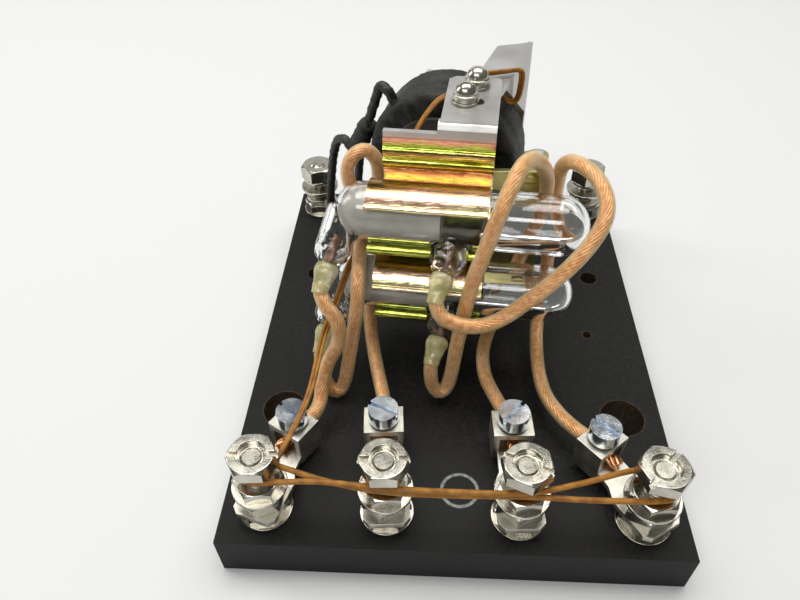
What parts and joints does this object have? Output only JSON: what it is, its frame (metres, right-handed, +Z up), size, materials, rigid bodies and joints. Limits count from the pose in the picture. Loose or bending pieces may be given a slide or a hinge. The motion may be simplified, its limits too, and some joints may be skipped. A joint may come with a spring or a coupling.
{
  "type": "mercury tilt relay",
  "caption": "Electromagnetic relay on a black slab: a hinged armature arm tips a plate of clipped mercury tubes wired to screw terminals.",
  "frame": {"origin": "centre of the slab's underside", "axes": "+X along the row of front terminals, +Y from that row towards the coil, +Z up through the slab"},
  "size_m": [0.1016, 0.1274, 0.0798],
  "materials": {
    "slab": "matt charcoal moulded laminate, brown at the drilled edges",
    "nickel": "nickel plate, softly worn",
    "lug_tin": "tinned steel, dull",
    "blue_zinc": "bright blue zinc plate",
    "copper": "bare twisted copper strands",
    "chromate": "yellow chromate on zinc-plated steel",
    "clip_chromate": "iridescent yellow chromate with green and pink bands",
    "soft_iron": "plated soft iron",
    "spring_steel": "bright spring steel",
    "satin_aluminium": "satin mill finish",
    "bobbin_plastic": "dark moulded bobbin",
    "black_tape": "black friction tape",
    "black_wire": "black rubber insulation",
    "amber_sleeve": "clear amber sleeve over copper strands",
    "rubber_band": "aged amber rubber",
    "clear_glass": "clear borosilicate glass",
    "white_ceramic": "unglazed white ceramic",
    "mercury": "liquid mercury",
    "electrode_metal": "oxidised alloy rod",
    "seal_varnish": "yellow-green varnish over the seal"
  },
  "bodies": {
    "base": {"base_slab": "slab", "terminal_studs": "nickel", "base_washers": "nickel", "jam_nuts": "nickel", "lug_1": "lug_tin", "lug_2": "lug_tin", "lug_3": "lug_tin", "lug_4": "lug_tin", "clamp_screws": "blue_zinc", "bare_wire_ends": "copper", "lug_nuts": "nickel", "wire_washers": "nickel", "check_nuts": "nickel", "slotted_nuts": "nickel", "coil_studs": "nickel", "coil_stud_washers": "nickel", "coil_stud_nuts": "nickel", "coil_wire_lugs": "lug_tin", "yoke_frame": "chromate", "yoke_screws": "chromate", "coil_core": "soft_iron", "core_screw": "chromate", "coil_bobbin": "bobbin_plastic", "coil_winding": "black_tape", "hinge_bracket": "chromate", "hinge_pin": "soft_iron", "stop_bracket": "chromate", "bracket_screws": "chromate", "stop_screw": "nickel", "stop_lock_nut": "nickel", "return_spring": "spring_steel", "coil_lead_left": "black_wire", "coil_lead_right": "black_wire", "lead_splice": "black_tape", "lead_1": "amber_sleeve", "lead_2": "amber_sleeve", "lead_3": "amber_sleeve", "lead_4": "amber_sleeve", "band_front": "rubber_band", "band_arm": "rubber_band"},
    "armature_arm": {"armature": "soft_iron", "arm": "satin_aluminium", "arm_rivets": "satin_aluminium", "adjuster_screws": "nickel", "adjuster_washers": "nickel", "acorn_nuts": "nickel"},
    "tube_mount": {"tube_plate": "satin_aluminium", "clip_upper": "clip_chromate", "clip_lower": "clip_chromate", "tube_upper": "clear_glass", "tube_lower": "clear_glass", "liner_upper": "white_ceramic", "liner_lower": "white_ceramic", "mercury_upper": "mercury", "mercury_lower": "mercury", "electrodes": "electrode_metal", "seal_blobs": "seal_varnish"}
  },
  "joints": [
    {"name": "armature_swing", "type": "hinge", "parent": "base", "child": "armature_arm", "pos_m": [0.02402, 0.04052, 0.0325], "axis": [0, 0, 1], "range_deg": [0, 8], "stiffness_Nm_per_rad": 0.02, "springref_deg": -2.86, "deforming": ["return_spring", "lead_1", "lead_2", "lead_3", "lead_4", "band_arm"]},
    {"name": "tilt_adjust", "type": "hinge", "parent": "armature_arm", "child": "tube_mount", "pos_m": [0.00402, 0.01791, 0.0746], "axis": [0, 0, 1], "range_deg": [-4, 4], "deforming": ["lead_1", "lead_2", "lead_3", "lead_4", "band_arm"]}
  ]
}
